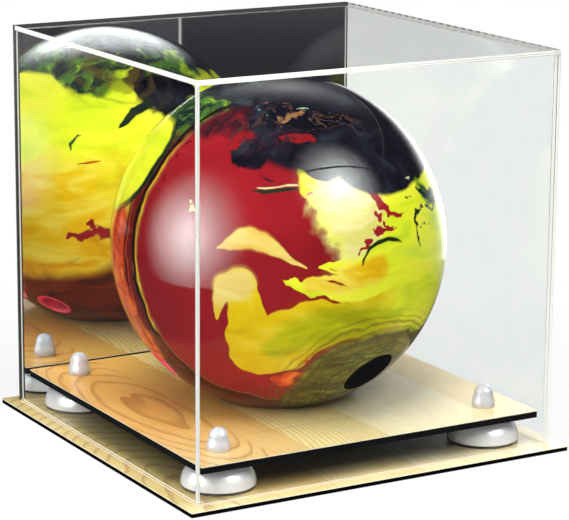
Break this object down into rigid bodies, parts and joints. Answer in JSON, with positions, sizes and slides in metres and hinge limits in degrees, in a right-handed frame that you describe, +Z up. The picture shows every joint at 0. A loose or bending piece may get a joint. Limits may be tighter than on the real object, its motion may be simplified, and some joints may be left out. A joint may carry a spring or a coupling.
{
  "type": "bowling ball display case",
  "caption": "Clear lift-off cover with a mirror back over a thin base, and a footed riser with a round seat holding a marbled bowling ball.",
  "frame": {"origin": "centre of the base board's underside", "axes": "+X to the right along the front panel, +Y from the front panel back to the mirror, +Z up"},
  "size_m": [0.2714, 0.2714, 0.257],
  "materials": {
    "clear_acrylic": "clear, polished edges",
    "mirror_acrylic": "polished mirror sheet",
    "black_board": "satin black",
    "lane_print": "glossy printed skin of pale boards",
    "white_plastic": "glossy white",
    "black_rubber": "matt",
    "steel_stud": "zinc-plated thread",
    "ball_resin": "polished marbled resin",
    "ball_filler": "cast filler",
    "ball_weight": "cast dense block",
    "thumb_urethane": "smooth black",
    "insert_rubber": "soft, pink-red"
  },
  "bodies": {
    "stand": {"base_board": "black_board", "base_lane_print": "lane_print", "riser_board": "black_board", "riser_lane_print": "lane_print", "foot_front_left": "white_plastic", "foot_front_right": "white_plastic", "foot_back_left": "white_plastic", "foot_back_right": "white_plastic", "foot_pad_front_left": "black_rubber", "foot_pad_front_right": "black_rubber", "foot_pad_back_left": "black_rubber", "foot_pad_back_right": "black_rubber", "stud_front_left": "steel_stud", "stud_front_right": "steel_stud", "stud_back_left": "steel_stud", "stud_back_right": "steel_stud", "cap_nut_front_left": "white_plastic", "cap_nut_front_right": "white_plastic", "cap_nut_back_left": "white_plastic", "cap_nut_back_right": "white_plastic"},
    "cover": {"cover_front_panel": "clear_acrylic", "cover_left_panel": "clear_acrylic", "cover_right_panel": "clear_acrylic", "cover_top_panel": "clear_acrylic", "mirror_back_panel": "mirror_acrylic"},
    "ball": {"ball_coverstock": "ball_resin", "ball_filler_core": "ball_filler", "ball_weight_block": "ball_weight", "thumb_slug": "thumb_urethane", "finger_insert_near": "insert_rubber", "finger_insert_far": "insert_rubber"}
  },
  "joints": [
    {"name": "cover_lift", "type": "slide", "parent": "stand", "child": "cover", "axis": [0, 0, 1], "range_m": [0, 0.26]},
    {"name": "ball_turn", "type": "hinge", "parent": "stand", "child": "ball", "pos_m": [0, 0, 0.12421], "axis": [0, 0, 1], "continuous": true}
  ]
}
